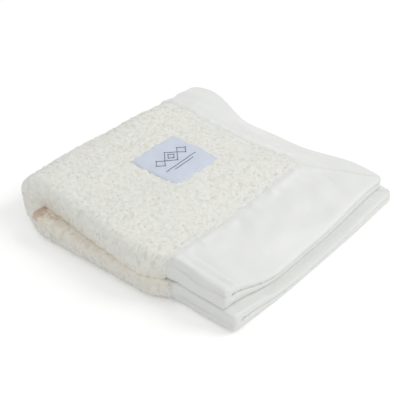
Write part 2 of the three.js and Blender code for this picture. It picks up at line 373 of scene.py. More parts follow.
def pile_share(u, v):
    """How high the pile stands at a place on the flat blanket, 0 in its hollows to 1."""
    warp_u = u + TUFT_WANDER * soft_noise(u, v, TUFT_WANDER_LENGTH, seed=31)
    warp_v = v + TUFT_WANDER * soft_noise(u, v, TUFT_WANDER_LENGTH, seed=32)
    coarse = tufts(warp_u, warp_v, TUFT_PITCH, seed=33)
    fine = tufts(warp_u, warp_v, TUFT_PITCH * FINE_TUFT_PITCH_SHARE, seed=34)
    return mix(coarse, fine, FINE_TUFT_SHARE)


# ---- fuller cloth where the two halves press on each other
def boxy_ply(v, front, meet, power):
    """How far a roll's face is from its axis: it is flatter at its front and at what it lies on."""
    turn = np.clip(np.abs(v) / ROLL_HALF, 0, 1) * math.pi / 2
    return ((np.cos(turn) / front) ** power + (np.sin(turn) / meet) ** power) ** (-1 / power)


def press_loft(v, meet, power):
    """How much further the cloth swells where each roll turns to the other half."""
    ply = FOLD_AIR / 2 + FLEECE_THICKNESS
    return (boxy_ply(v, ply + ROLL_SWELL, meet, power) - ply) * smooth(-v, *SWELL_COMES)


def crease_loft(u, v):
    """How much further the pile stands on the side of each roll that faces the other roll."""
    uneven = PILE_UNEVEN * soft_noise(u, v, 9, seed=42) * smooth(-v, 0, 4)
    fuller = PILE_PRESS * smooth(-v, 1, ROLL_HALF * 0.6)
    loft = press_loft(v, BOOK_RADIUS, PILE_POWER) + fuller + uneven
    return loft * (1 - smooth(-v, *CREASE_END))


def pile_height(u, v):
    """The pile's height, up to the other half's pile. Away from the second fold they interlock."""
    height = mix(PILE_LOW, PILE_HIGH, pile_share(u, v)) + crease_loft(u, v)
    turn = np.clip(-v / ROLL_HALF, 0.01, 1) * math.pi / 2
    clear = smooth(np.abs(u), BOOK_HALF, BOOK_HALF + LOCK_REACH)
    lock = LOCK_WANDER * np.sign(u) * soft_noise(np.abs(u), 0 * v, 8.0, seed=43) + PILE_LOCK
    meet = (BOOK_RADIUS - PILE_CLEARANCE + lock * clear) / np.sin(turn) - FOLD_AIR / 2
    return np.minimum(height, meet)


def painted_crease_shade(u, v):
    """Painted shade in the crease between the rolls, as a warmer and darker tone of the pile: most at the
    end by the second fold.
    """
    depth, along = -v, np.abs(u)
    patchy = 1 + 0.25 * soft_noise(u, v * 2, 6, seed=41)
    valley = VALLEY_SHADE * smooth(depth, 0.5, ROLL_HALF * 0.7) * (1 - smooth(depth, *VALLEY_GONE))
    lower_face = LOWER_FACE_SHADE * smooth(depth, *LOWER_FACE_COMES) * (u < 0)
    lower_face = lower_face * (1 - smooth(depth, *LOWER_FACE_GONE))
    ragged = soft_noise(u, v, 8, seed=44) + soft_noise(u, v, 2.5, seed=45)
    fold_end = (BOOK_HALF - CREASE_END_LEAD, BOOK_HALF + CREASE_END_REACH)
    at_end = (1 - smooth(along + 4 * ragged, *fold_end)) * smooth(along, *CREASE_END_INSIDE)
    at_end = at_end * smooth(depth + ragged, *CREASE_END_COMES)
    at_end = at_end * (1 - smooth(depth, *CREASE_END_GONE))
    return np.clip((valley + lower_face) * patchy + at_end, 0, 1)


# ---- the folds
def fold_point(u, v, n):
    """Carries points of the flat blanket through both folds, straight and level."""
    ply = FOLD_AIR / 2 + n
    roll = np.clip(v / ROLL_HALF, -1, 1) * math.pi / 2
    in_roll = np.abs(v) <= ROLL_HALF
    lift = ply * np.sin(roll)
    y = np.where(in_roll, -ply * np.cos(roll), np.abs(v) - ROLL_HALF)
    radius = BOOK_RADIUS + lift
    turn = np.clip(u / BOOK_HALF, -1, 1) * math.pi / 2
    in_book = np.abs(u) <= BOOK_HALF
    x = np.where(in_book, -radius * np.cos(turn), np.abs(u) - BOOK_HALF)
    z = STACK_HALF + radius * np.sin(turn)
    return x, y, z


def roll_swell(u):
    along = np.abs(u)
    ease_start = BOOK_HALF + SEAM_X - SWELL_EASE
    ease_end = BOOK_HALF + SEAM_X + BINDING_SWELL_LEAD
    reach = np.where(u < 0, BOOK_HALF + LOWER_SWELL_LEAD, ease_start)
    full_swell = np.where(u < 0, LOWER_ROLL_SWELL, UPPER_ROLL_SWELL)
    swell = mix(SPINE_ROLL_SWELL, full_swell, smooth(along, 0, reach))
    return mix(swell, BINDING_ROLL_SWELL, smooth(along, ease_start, ease_end))


def bulge_share(y):
    seam_end = SEAM_Y + BACK_SEAM_SHIFT
    rise = smooth(y, SEAM_Y * BULGE_RISE_SHARE, seam_end)
    to_seam = mix(FRONT_BULGE_SHARE, SEAM_BULGE_SHARE, rise)
    return mix(to_seam, BACK_BULGE_SHARE, smooth(y, seam_end, HEM_Y))


def way_over(at, seam, hem, lead):
    return np.clip((at - seam + lead) / (hem - seam + lead), 0, 1)


def height_share(x, y):
    to_middle = smooth(y, -STACK_HALF, SEAM_Y * SINK_RISE_SHARE)
    to_far = smooth(y, SEAM_Y * SINK_FALL_SHARE, HEM_Y)
    side_share = mix(mix(FRONT_SINK_SHARE, MIDDLE_SINK_SHARE, to_middle), FAR_SINK_SHARE, to_far)
    to_back = smooth(x, 0, SEAM_X * SINK_RISE_SHARE)
    to_right = smooth(x, SEAM_X * SINK_FALL_SHARE, HEM_X)
    back_share = mix(mix(LEFT_SINK_SHARE, BACK_SINK_SHARE, to_back), RIGHT_SINK_SHARE, to_right)
    side_sink = side_share * way_over(x, SEAM_X, HEM_X, SIDE_SINK_LEAD) ** SINK_POWER
    back_sink = back_share * way_over(y, SEAM_Y, HEM_Y, BACK_SINK_LEAD) ** SINK_POWER
    return 1 - (side_sink**CORNER_POWER + back_sink**CORNER_POWER) ** (1 / CORNER_POWER)


def settled_share(x, y):
    """The height share with the slight hills and hollows of hand-folded cloth."""
    return height_share(x, y) * (1 + UNEVEN_SHARE * soft_noise(x, y, UNEVEN_LENGTH, seed=4))


def hem_pull(x):
    rise, fall, end = HEM_DIP_SHARES
    in_dip = smooth(x, 0, SEAM_X * rise) * (1 - smooth(x, SEAM_X * fall, SEAM_X * end))
    return BACK_HEM_PULL + BACK_HEM_DIP * in_dip


def place(u, v, n):
    """Carries points of the flat blanket to their places in the settled stack, in metres."""
    flat_x, flat_y, flat_z = fold_point(u, v, n)
    roll_shift = roll_swell(u) * (1 - smooth(np.abs(v), 0, ROLL_SWELL_DEPTH))
    seam_shift = BACK_SEAM_SHIFT * smooth(flat_y, SEAM_Y * BACK_SHIFT_SHARE, SEAM_Y)
    y = flat_y - roll_shift + seam_shift - hem_pull(flat_x) * smooth(flat_y, SEAM_Y, HEM_Y)
    rise, fall = HEM_SWELL_SHARES
    along_hem = smooth(flat_y, 0, SEAM_Y * rise) * (1 - smooth(flat_y, SEAM_Y * fall, HEM_Y))
    slip = np.where(u > 0, UPPER_SLIP, LOWER_SLIP)
    draw = np.where(u > 0, UPPER_HEM_DRAW, 0)
    hem_shift = (HEM_SWELL * along_hem - draw) * smooth(flat_x, SEAM_X, HEM_X)
    open_x = flat_x + slip * smooth(flat_x, 0, SLIP_REACH) + hem_shift
    x = np.where(flat_x < 0, flat_x * (1 + bulge_share(y)), open_x)
    # The front left corner is a little fuller than its solid
    across = 1 - ((u - CORNER_MIDDLE[0]) / CORNER_REACH[0]) ** 2
    corner = bell(flat_y - CORNER_MIDDLE[1], CORNER_REACH[1]) * np.clip(across, 0, 1) ** 2
    x = x - CORNER_FULLNESS * corner
    z = flat_z * settled_share(x, y)
    return (np.stack([x, y, z], axis=-1) + OFFSET) * MM


# ---- meshes
def add_values(mesh, name, values):
    """Keeps one value for each of a mesh's points, as a named attribute."""
    layer = mesh.attributes.new(name, "FLOAT", "POINT")
    layer.data.foreach_set("value", np.asarray(values, np.float32).ravel())


def new_object(name, data):
    """Puts a mesh, a lamp or a camera into the scene."""
    holder = bpy.data.objects.new(name, data)
    bpy.context.scene.collection.objects.link(holder)
    return holder


def new_piece(name, points, faces, flat_u=None, uv=None, rounded=None):
    """A new mesh object. Only the first faces are shaded round where rounded gives their number."""
    mesh = bpy.data.meshes.new(name)
    mesh.from_pydata(points.tolist(), [], faces)
    mesh.polygons.foreach_set("use_smooth", np.arange(len(faces)) < (rounded or len(faces)))
    if uv is not None:
        corners = np.zeros(len(mesh.loops), np.int32)
        mesh.loops.foreach_get("vertex_index", corners)
        layer = mesh.uv_layers.new(name="cloth")
        layer.data.foreach_set("uv", uv[corners].astype(np.float32).ravel())
    if flat_u is not None:
        add_values(mesh, "flat_u", flat_u)
    mesh.update()
    return new_object(name, mesh)


def closed_sheet(name, points, flat_u, uv, under_step=1):
    """A closed body from a grid of points on its under face and its top, points[face, row, column],
    with a rim all round. The under face keeps only one row in every under_step."""
    _, rows, columns, _ = points.shape
    kept = sorted({*range(0, rows, under_step), rows - 1})
    top = np.arange(rows * columns).reshape(rows, columns)
    under = rows * columns + np.arange(len(kept) * columns).reshape(len(kept), columns)
    faces = []

    def quads(a, b, c, d):
        faces.extend(np.stack([a.ravel(), b.ravel(), c.ravel(), d.ravel()], axis=1).tolist())

    quads(top[:-1, :-1], top[1:, :-1], top[1:, 1:], top[:-1, 1:])
    quads(under[:-1, :-1], under[:-1, 1:], under[1:, 1:], under[1:, :-1])
    rounded = len(faces)
    quads(under[0, :-1], top[0, :-1], top[0, 1:], under[0, 1:])
    quads(under[-1, :-1], under[-1, 1:], top[-1, 1:], top[-1, :-1])
    for i in range(len(kept) - 1):
        stretch = top[kept[i] : kept[i + 1] + 1]
        faces.append([under[i, 0], under[i + 1, 0], *stretch[::-1, 0]])
        faces.append([under[i + 1, -1], under[i, -1], *stretch[:, -1]])
    flat = np.concatenate([points[1].reshape(-1, 3), points[0, kept].reshape(-1, 3)])
    # The faces point outwards when the volume that they enclose is above zero
    corners = flat[np.array([face[:3] for face in faces])]
    normal = np.cross(corners[:, 1] - corners[:, 0], corners[:, 2] - corners[:, 0])
    if (normal * corners.mean(axis=1)).sum() < 0:
        faces = [face[::-1] for face in faces]

    def both(values, width):
        return np.concatenate([values[1].reshape(-1, width), values[0, kept].reshape(-1, width)])

    return new_piece(name, flat, faces, both(flat_u, 1), both(uv, 2), rounded)


# ---- nodes
def add_node(tree, kind, links=(), **settings):
    """Adds a node with its settings. Each of its inputs is set to a value, or linked to a socket or
    to the socket that another node gives first."""
    node = tree.nodes.new(kind)
    for name, value in settings.items():
        setattr(node, name, value)
    for socket, source in dict(links).items():
        if isinstance(source, bpy.types.Node):
            source = next(given for given in source.outputs if given.enabled)
        if isinstance(source, bpy.types.NodeSocket):
            tree.links.new(source, node.inputs[socket])
        else:
            node.inputs[socket].default_value = source
    return node


def linear(code):
    """An sRGB hex colour as linear red, green, blue and alpha."""
    shares = [int(code[i : i + 2], 16) / 255 for i in (1, 3, 5)]
    return (*[c / 12.92 if c <= 0.04045 else ((c + 0.055) / 1.055) ** 2.4 for c in shares], 1.0)


# ---- materials
# The sockets of a Mix node that mixes colours
FACTOR, TONE_A, TONE_B = 0, 6, 7


def new_material(name):
    material = bpy.data.materials.new(name)
    material.use_nodes = True
    material.node_tree.nodes.clear()
    return material, material.node_tree


def surface(material, inputs, roughness, specular, sheen):
    """Ends a material with its shader. What is even all over is set on the shader's own sockets."""
    even = {"Roughness": roughness, "Specular IOR Level": specular, "Sheen Weight": sheen}
    shader = add_node(material.node_tree, "ShaderNodeBsdfPrincipled", {**inputs, **even})
    add_node(material.node_tree, "ShaderNodeOutputMaterial", {"Surface": shader})
    return material


def sherpa_wool():
    """Brushed polyester sherpa: matt curly wool, cream at its tips, with painted shade that makes it warmer
    and darker in its depth.
    """
    material, tree = new_material("sherpa_wool")
    where = add_node(tree, "ShaderNodeTexCoord").outputs["Object"]
    # The warm tone lies in some of the hollows only, in flecks of about 2 to 3 mm: random flecks, darkened
    # as painted shade in the tufts' hollows
    clouds = add_node(tree, "ShaderNodeTexNoise", {"Vector": where, "Scale": 300.0, "Detail": 2.0})
    patches = add_node(
        tree,
        "ShaderNodeMapRange",
        {"Value": clouds, "From Min": 0.44, "From Max": 0.7, "To Max": 0.55},
        interpolation_type="SMOOTHSTEP",
    )
    # Painted shade: the lower a point stands in its tuft, the more of the warm darker tone it takes
    height = add_node(tree, "ShaderNodeAttribute", attribute_name="tip_share").outputs["Fac"]
    hollows = add_node(
        tree,
        "ShaderNodeMapRange",
        {"Value": height, "From Min": 0.95, "From Max": 0.35},
        interpolation_type="SMOOTHSTEP",
    )
    hollow_shade_flecks = add_node(tree, "ShaderNodeMath", {0: patches, 1: hollows}, operation="MULTIPLY")
    # Painted shade at the sharp bend between the rolls: a warmer, darker tone on the pile there
    crease_shade = add_node(tree, "ShaderNodeAttribute", attribute_name="painted_crease_shade").outputs["Fac"]
    flecks_and_crease_shade = add_node(
        tree, "ShaderNodeMath", {0: hollow_shade_flecks, 1: crease_shade}, operation="ADD", use_clamp=True
    )
    # The deepest part of the crease's painted shade takes the darkest tone
    deepest_shade = add_node(
        tree, "ShaderNodeMapRange", {"Value": crease_shade, "From Min": 0.5, "From Max": 1.0}
    )
    warm = add_node(
        tree,
        "ShaderNodeMix",
        {FACTOR: deepest_shade, TONE_A: linear("#e4d6bf"), TONE_B: linear("#d0b8a4")},
        data_type="RGBA",
    )
    # The cream itself varies from tuft to tuft, over about 4 mm
    flecks = add_node(tree, "ShaderNodeTexNoise", {"Vector": where, "Scale": 240.0, "Detail": 1.0})
    cream = add_node(
        tree,
        "ShaderNodeMix",
        {FACTOR: flecks, TONE_A: linear("#eff0ea"), TONE_B: linear("#f7f8f1")},
        data_type="RGBA",
    )
    colour = add_node(
        tree, "ShaderNodeMix", {FACTOR: flecks_and_crease_shade, TONE_A: cream, TONE_B: warm}, data_type="RGBA"
    )
    # Locks of fibre about 0.8 mm apart, drawn coarser than the single fibres so that they show
    fuzz = add_node(tree, "ShaderNodeTexNoise", {"Vector": where, "Scale": 1300.0, "Detail": 3.0})
    bump = add_node(tree, "ShaderNodeBump", {"Height": fuzz, "Strength": 0.5, "Distance": 0.0005})
    return surface(material, {"Base Color": colour, "Normal": bump}, 0.95, 0.15, 0.5)


def blanket_satin():
    """Woven polyester satin: long floats along the ribbon that give a soft drawn-out sheen."""
    material, tree = new_material("blanket_satin")
    cloth = add_node(tree, "ShaderNodeUVMap", uv_map="cloth")
    # Floats about 9 mm long and 0.5 mm apart, drawn a little coarser than the real weave
    stretched = add_node(
        tree, "ShaderNodeMapping", {"Vector": cloth, "Scale": (110.0, 1900.0, 1.0)}
    )
    floats = add_node(
        tree, "ShaderNodeTexNoise", {"Vector": stretched, "Scale": 1.0, "Detail": 3.0}
    )
    # Faint clouds about 14 mm across, where the ribbon is more or less pressed
    clouds = add_node(tree, "ShaderNodeTexNoise", {"Vector": cloth, "Scale": 70.0, "Detail": 2.0})
    colour = add_node(
        tree,
        "ShaderNodeMix",
        {FACTOR: clouds, TONE_A: linear("#e6e9e5"), TONE_B: linear("#efefec")},
        data_type="RGBA",
    )
    bump = add_node(
        tree, "ShaderNodeBump", {"Height": floats, "Strength": 0.35, "Distance": 0.00012}
    )
    inputs = {"Base Color": colour, "Normal": bump, "Anisotropic": 0.45}
    return surface(material, inputs, 0.36, 0.5, 0.15)


def label_weave():
    """Taffeta label weave in pale blue polyester: fine crossed ribs, faintly silky."""
    material, tree = new_material("label_weave")
    cloth = add_node(tree, "ShaderNodeUVMap", uv_map="cloth")
    # Ribs 0.5 mm apart, drawn coarser than the real 0.2 mm so that they show
    ribs = {"Vector": cloth, "Scale": 320.0, "Distortion": 0.4, "Detail": 1.0}
    warp, weft = (
        add_node(tree, "ShaderNodeTexWave", ribs, bands_direction=way).outputs["Fac"]
        for way in "XY"
    )
    crossed = add_node(tree, "ShaderNodeMath", {0: warp, 1: weft}, operation="MULTIPLY")
    # The yarn's blue varies over about 8 mm
    clouds = add_node(tree, "ShaderNodeTexNoise", {"Vector": cloth, "Scale": 120.0, "Detail": 3.0})
    colour = add_node(
        tree,
        "ShaderNodeMix",
        {FACTOR: clouds, TONE_A: linear("#d1d9e8"), TONE_B: linear("#dfe5f2")},
        data_type="RGBA",
    )
    bump = add_node(
        tree, "ShaderNodeBump", {"Height": crossed, "Strength": 0.5, "Distance": 0.0002}
    )
    return surface(material, {"Base Color": colour, "Normal": bump}, 0.62, 0.35, 0.2)


def sewing_thread(name, dark, light):
    """Spun polyester thread: slightly lustrous, with painted light and shade of its twist every 0.4 mm."""
    material, tree = new_material(name)
    where = add_node(tree, "ShaderNodeTexCoord").outputs["Object"]
    # Painted light and shade along the thread, standing in for its twist
    twist = add_node(tree, "ShaderNodeTexNoise", {"Vector": where, "Scale": 2400.0, "Detail": 1.0})
    colour = add_node(
        tree,
        "ShaderNodeMix",
        {FACTOR: twist, TONE_A: linear(dark), TONE_B: linear(light)},
        data_type="RGBA",
    )
    return surface(material, {"Base Color": colour}, 0.55, 0.4, 0.2)


# ---- what repeats: curls of pile and stitches of thread
def new_tree(name, inputs):
    """A tree with these named inputs, each with its kind of value, and its first node."""
    tree = bpy.data.node_groups.new(name, "GeometryNodeTree")
    for label, kind in {"Geometry": "Geometry", **inputs}.items():
        tree.interface.new_socket(label, in_out="INPUT", socket_type=f"NodeSocket{kind}")
    tree.interface.new_socket("Geometry", in_out="OUTPUT", socket_type="NodeSocketGeometry")
    return tree, add_node(tree, "NodeGroupInput")


def end_tree(tree, start, instances):
    """Makes the instances plain mesh, with the material that the tree is given."""
    plain = add_node(tree, "GeometryNodeRealizeInstances", {"Geometry": instances})
    inputs = {"Geometry": plain, "Material": start.outputs["Material"]}
    coated = add_node(tree, "GeometryNodeSetMaterial", inputs)
    add_node(tree, "NodeGroupOutput", {"Geometry": coated})
    return tree


def pile_tree():
    """Sets curls over a surface, each leaning and turned its own way."""
    inputs = {
        "Wisps": "Collection",
        "Spacing": "Float",
        "Most per Area": "Float",
        "Size": "Float",
        "Lean": "Vector",
        "Turn": "Vector",
        "Kinds": "Int",
        "Seed": "Int",
        "Material": "Material",
    }
    tree, start = new_tree("pile", inputs)
    given = start.outputs
    share = add_node(
        tree, "GeometryNodeInputNamedAttribute", {"Name": "pile_share"}, data_type="FLOAT"
    )
    points = add_node(
        tree,
        "GeometryNodeDistributePointsOnFaces",
        {
            "Mesh": given["Geometry"],
            "Distance Min": given["Spacing"],
            "Density Max": given["Most per Area"],
            "Density Factor": share.outputs["Attribute"],
            "Seed": given["Seed"],
        },
        distribute_method="POISSON",
    )
    kind = add_node(
        tree, "FunctionNodeRandomValue", {4: 0, 5: given["Kinds"], "Seed": 7}, data_type="INT"
    )
    turn = add_node(
        tree,
        "FunctionNodeRandomValue",
        {0: given["Lean"], 1: given["Turn"], "Seed": 11},
        data_type="FLOAT_VECTOR",
    )
    size = add_node(
        tree, "FunctionNodeRandomValue", {2: 0.8, 3: 1.25, "Seed": 17}, data_type="FLOAT"
    )
    scaled = add_node(tree, "ShaderNodeMath", {0: size, 1: given["Size"]}, operation="MULTIPLY")
    angles = add_node(tree, "FunctionNodeEulerToRotation", {"Euler": turn})
    turned = add_node(
        tree,
        "FunctionNodeRotateRotation",
        {"Rotation": points.outputs["Rotation"], "Rotate By": angles},
        rotation_space="LOCAL",
    )
    curls = add_node(
        tree,
        "GeometryNodeCollectionInfo",
        {"Collection": given["Wisps"], "Separate Children": True, "Reset Children": True},
    )
    instances = add_node(
        tree,
        "GeometryNodeInstanceOnPoints",
        {
            "Points": points,
            "Instance": curls,
            "Pick Instance": True,
            "Instance Index": kind,
            "Rotation": turned,
            "Scale": scaled,
        },
    )
    return end_tree(tree, start, instances)


def stitch_tree():
    """Sets stitches end to end along lines."""
    inputs = {"Stitch": "Object", "Pitch": "Float", "Stitch Size": "Vector", "Material": "Material"}
    tree, start = new_tree("stitches", inputs)
    given = start.outputs
    line = add_node(tree, "GeometryNodeMeshToCurve", {"Mesh": given["Geometry"]})
    points = add_node(
        tree, "GeometryNodeCurveToPoints", {"Curve": line, "Length": given["Pitch"]}, mode="LENGTH"
    )
    along = add_node(
        tree, "FunctionNodeAlignRotationToVector", {"Vector": points.outputs["Tangent"]}, axis="Z"
    )
    stitch = add_node(tree, "GeometryNodeObjectInfo", {"Object": given["Stitch"]})
    instances = add_node(
        tree,
        "GeometryNodeInstanceOnPoints",
        {
            "Points": points,
            "Instance": stitch.outputs["Geometry"],
            "Rotation": along,
            "Scale": given["Stitch Size"],
        },
    )
    return end_tree(tree, start, instances)


def grown(name, carrier, tree, values):
    """Runs a tree on a carrier and keeps its result as a plain mesh in a new piece."""
    maker = carrier.modifiers.new("maker", "NODES")
    maker.node_group = tree
    for item in tree.interface.items_tree:
        if item.in_out == "INPUT" and item.name in values:
            maker[item.identifier] = values[item.name]
    view = bpy.context.evaluated_depsgraph_get()
    view.update()
    mesh = bpy.data.meshes.new_from_object(
        carrier.evaluated_get(view), preserve_all_data_layers=True, depsgraph=view
    )
    carrier.modifiers.remove(maker)
    bpy.data.objects.remove(carrier)
    mesh.name = name
    return new_object(name, mesh)


def tube(path, radii, sides):
    """Points and faces of a closed tube along a path of points, with its radius at each of them."""
    count = len(path)
    way = np.gradient(path, axis=0)
    way /= np.linalg.norm(way, axis=1, keepdims=True)
    # Any direction does here that the path never runs along
    first = np.cross(way, np.array([0.3, 0.2, 0.93]))
    first /= np.linalg.norm(first, axis=1, keepdims=True)
    second = np.cross(way, first)
    angle = (np.arange(sides) * 2 * math.pi / sides)[None, :, None]
    ring = np.cos(angle) * first[:, None] + np.sin(angle) * second[:, None]
    points = (path[:, None] + ring * radii[:, None, None]).reshape(-1, 3)
    faces = []
    for i in range(count - 1):
        for j in range(sides):
            k = (j + 1) % sides
            faces.append([i * sides + j, i * sides + k, (i + 1) * sides + k, (i + 1) * sides + j])
    faces.append(list(range(sides))[::-1])
    faces.append([(count - 1) * sides + j for j in range(sides)])
    return points, faces


def wisp_shapes():
    """A few wisps of pile, fine curls of wool about 2 mm across, in a collection of their own."""
    chance = np.random.default_rng(21)
    wisps = bpy.data.collections.new("wisps")
    bpy.context.scene.collection.children.link(wisps)
    way = np.linspace(0, 1, len(WISP_RADII))
    for index in range(WISP_KINDS):
        reach = chance.uniform(*WISP_REACH)
        swing = chance.uniform(*WISP_SWING) * chance.choice([-1, 1])
        start = chance.uniform(0, 2 * math.pi)
        spiral = reach * (0.45 + 0.55 * way)
        x = spiral * np.cos(start + way * swing)
        y = spiral * np.sin(start + way * swing)
        z = WISP_RISE * np.sin(way * math.pi * chance.uniform(0.55, 0.85)) - WISP_SUNK
        path = np.stack([x - x.mean(), y - y.mean(), z], axis=1) * MM
        points, faces = tube(path, np.array(WISP_RADII) * MM, sides=3)
        wisp = new_piece(f"wisp_{index}", points, faces)
        # The wisps stand high, so they take little of the painted shade of the hollows
        add_values(wisp.data, "tip_share", np.full(len(points), WISP_TIP_SHARE))
        bpy.context.scene.collection.objects.unlink(wisp)
        wisps.objects.link(wisp)
    return wisps


def stitch_shape():
    """One stitch, a unit long and a unit thick, fuller in its middle."""
    path = np.zeros((len(STITCH_RADII), 3))
    path[:, 2] = np.linspace(-0.5, 0.5, len(path))
    return new_piece("stitch", *tube(path, np.array(STITCH_RADII), sides=6))


# ---- pieces that cross the second fold
def follow_fold(piece, half):
    """Bends a piece at the second fold: each cross-section of the cloth turns as one."""
    mesh = piece.data
    flat_u = np.zeros(len(mesh.vertices), np.float32)
    mesh.attributes["flat_u"].data.foreach_get("value", flat_u)
    seam_side = Vector(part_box("sherpa_upper" if half > 0 else "sherpa_lower")[0])
    fold_side = Vector(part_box("sherpa_fold")[0])
    bodies = ("fold_spine", "upper_half") if half > 0 else ("lower_half", "fold_spine")
    start, end = (fold_side, seam_side) if half > 0 else (seam_side, fold_side)
    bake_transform(piece, *bodies, start=start, end=end)
    from_fold = smooth(np.abs(flat_u), 0, BOOK_HALF + FOLD_LEAD)
    share = from_fold if half > 0 else 1 - from_fold
    mesh.attributes["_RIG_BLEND"].data.foreach_set("value", share.astype(np.float32))


# ---- the fleece
def spaced(*stops):
    """Places from stop to stop, each stretch given as its end and its step."""
    places = [stops[0]]
    for end, step in stops[1:]:
        count = max(1, round(abs(end - places[-1]) / step))
        places.extend(np.linspace(places[-1], end, count + 1)[1:])
    return np.array(places)


def both_ways(places):
    """The same places on both sides of a fold's middle."""
    return np.concatenate([-places[:0:-1], places])


def pile_top(u, v):
    """The pile's top on the flat blanket. Past its irregular edge it dips under the satin."""
    wander = PILE_EDGE_WANDER * soft_noise(u, v, PILE_EDGE_LENGTH, seed=35)
    edge = SEAM_LINE + PILE_PAST_SEAM + wander
    tucked = smooth(np.maximum(np.abs(u), np.abs(v)), edge, edge + PILE_EDGE_FALL)
    return mix(pile_height(u, v), MID_PLANE + TUCKED_HALF, tucked)


def fleece(label, half):
    """Half of the fleece panel, with the tufts of its pile and its edge in the binding's pocket."""
    to_margin = ((PILE_END, PILE_STEP), (SEAM_LINE + MARGIN_DEPTH, TUCKED_STEP))
    rows = half * spaced(0.0, FOLD_START, (BOOK_HALF, BOOK_STEP), *to_margin)
    columns = both_ways(spaced(0.0, (ROLL_HALF, ROLL_STEP), *to_margin))
    u, v = np.meshgrid(rows, columns, indexing="ij")
    in_margin = smooth(np.maximum(np.abs(u), np.abs(v)), SEAM_LINE - TUCKED_LEAD, SEAM_LINE)
    under = mix(0.0, MID_PLANE - TUCKED_HALF, in_margin)
    points = np.stack([place(u, v, under), place(u, v, pile_top(u, v))])
    points[..., 2] = np.maximum(points[..., 2], FLOOR_CLEARANCE * MM)
    uv = np.stack([np.stack([u, v], axis=-1)] * 2) * MM
    piece = closed_sheet(f"sherpa_fleece_{label}", points, np.stack([u, u]), uv, under_step=4)
    # How high each point stands in its tuft, which sets the painted shade of the hollows
    tip_share = np.ones(len(piece.data.vertices))
    tip_share[: u.size] = pile_share(u, v).ravel()
    add_values(piece.data, "tip_share", tip_share)
    # The painted shade of the crease, for the material
    warm = np.zeros(len(tip_share))
    warm[: u.size] = painted_crease_shade(u, v).ravel()
    add_values(piece.data, "painted_crease_shade", warm)
    piece.data.materials.append(SHERPA_WOOL)
    return piece


def under_label(points):
    """True for points of the top that the label covers."""
    from_middle = points / MM - OFFSET
    x, y = from_middle[..., 0] - LABEL_MIDDLE[0], from_middle[..., 1] - LABEL_MIDDLE[1]
    across = x * math.cos(LABEL_TURN) + y * math.sin(LABEL_TURN)
    back = y * math.cos(LABEL_TURN) - x * math.sin(LABEL_TURN)
    covered = np.maximum(np.abs(across), np.abs(back)) < LABEL_SIDE / 2 - LABEL_OVERLAP
    return covered & (from_middle[..., 2] > NEAR_TOP)


def fleece_wisps(label, half, face, side):
    """The fine wisps on one face of one half of the panel."""
    near, far = WISP_STEPS
    rows = half * spaced(0.0, (BOOK_HALF, near), (SEAM_LINE + WISPS_PAST_SEAM, far))
    columns = side * spaced(0.0, (ROLL_HALF, near), (SEAM_LINE + WISPS_PAST_SEAM, far))
    u, v = np.meshgrid(rows, columns, indexing="ij")
    height = pile_height(u, v)
    flat = place(u, v, height).reshape(-1, 3)
    index = np.arange(u.size).reshape(u.shape)
    ring = (index[:-1, :-1], index[1:, :-1], index[1:, 1:], index[:-1, 1:])
    faces = np.stack(ring, axis=-1).reshape(-1, 4)
    # The wisps grow to the side that the faces point to, which has to be out of the pile
    above = place(u, v, height + 1.0).reshape(-1, 3) - flat
    corners = flat[faces]
    normal = np.cross(corners[:, 2] - corners[:, 0], corners[:, 3] - corners[:, 1])
    if (normal * above[faces].mean(axis=1)).sum() < 0:
        faces = faces[:, ::-1]
    carrier = new_piece("carrier", flat, faces.tolist(), u)
    # The painted shade of the crease, which the wisps take on from here
    add_values(carrier.data, "painted_crease_shade", painted_crease_shade(u, v))
    add_values(carrier.data, "pile_share", np.where(under_label(flat), 0.0, 1.0))
    values = {
        "Wisps": WISPS,
        "Spacing": WISP_SPACING * MM,
        "Most per Area": WISP_MOST_SHARE / (WISP_SPACING * MM) ** 2,
        "Size": WISP_SIZE,
        "Lean": (-WISP_LEAN, -WISP_LEAN, 0.0),
        "Turn": (WISP_LEAN, WISP_LEAN, 2 * math.pi),
        "Kinds": WISP_KINDS - 1,
        "Seed": 3,
        "Material": SHERPA_WOOL,
    }
    piece = grown(f"sherpa_wisps_{face}_{label}", carrier, PILE_TREE, values)
    keep_off_floor(piece.data)
    return piece


def keep_off_floor(mesh):
    """Presses what would reach below the resting plane flat against it."""
    points = np.zeros(len(mesh.vertices) * 3, np.float32)
    mesh.vertices.foreach_get("co", points)
    points[2::3] = np.maximum(points[2::3], FLOOR_CLEARANCE * MM)
    mesh.vertices.foreach_set("co", points)
    mesh.update()


# ---- the satin binding
def ribbon_section():
    """The ribbon's outer line, from its upper sewn edge over the hem to its lower one: each point's
    place across, its height, and 1 on the upper face or -1 on the lower."""
    stops = [(BINDING_WIDTH - to_hem, step) for to_hem, step in SECTION_STEPS]
    across = spaced(-SATIN_PAST_SEAM, *stops)
    crown = mix(SEAM_HALF, LOFT_HALF, smooth(across, 0, CROWN_WIDTH))
    at_hem = smooth(across, *HEM_COMES)
    tip = np.clip((across - BINDING_WIDTH + HEM_ROUND) / HEM_ROUND, 0, 1)
    rounded = np.sqrt(1 - tip**2)
    above = mix(crown, HEM_HALF + HEM_FULLNESS[0], at_hem) * rounded
    below = mix(crown, LOFT_HALF + HEM_FULLNESS[1], at_hem) * rounded
    return (
        np.concatenate([across, across[-2::-1]]),
        np.concatenate([above, -below[-2::-1]]),
        np.concatenate([np.ones(len(across)), -np.ones(len(across) - 1)]),
    )


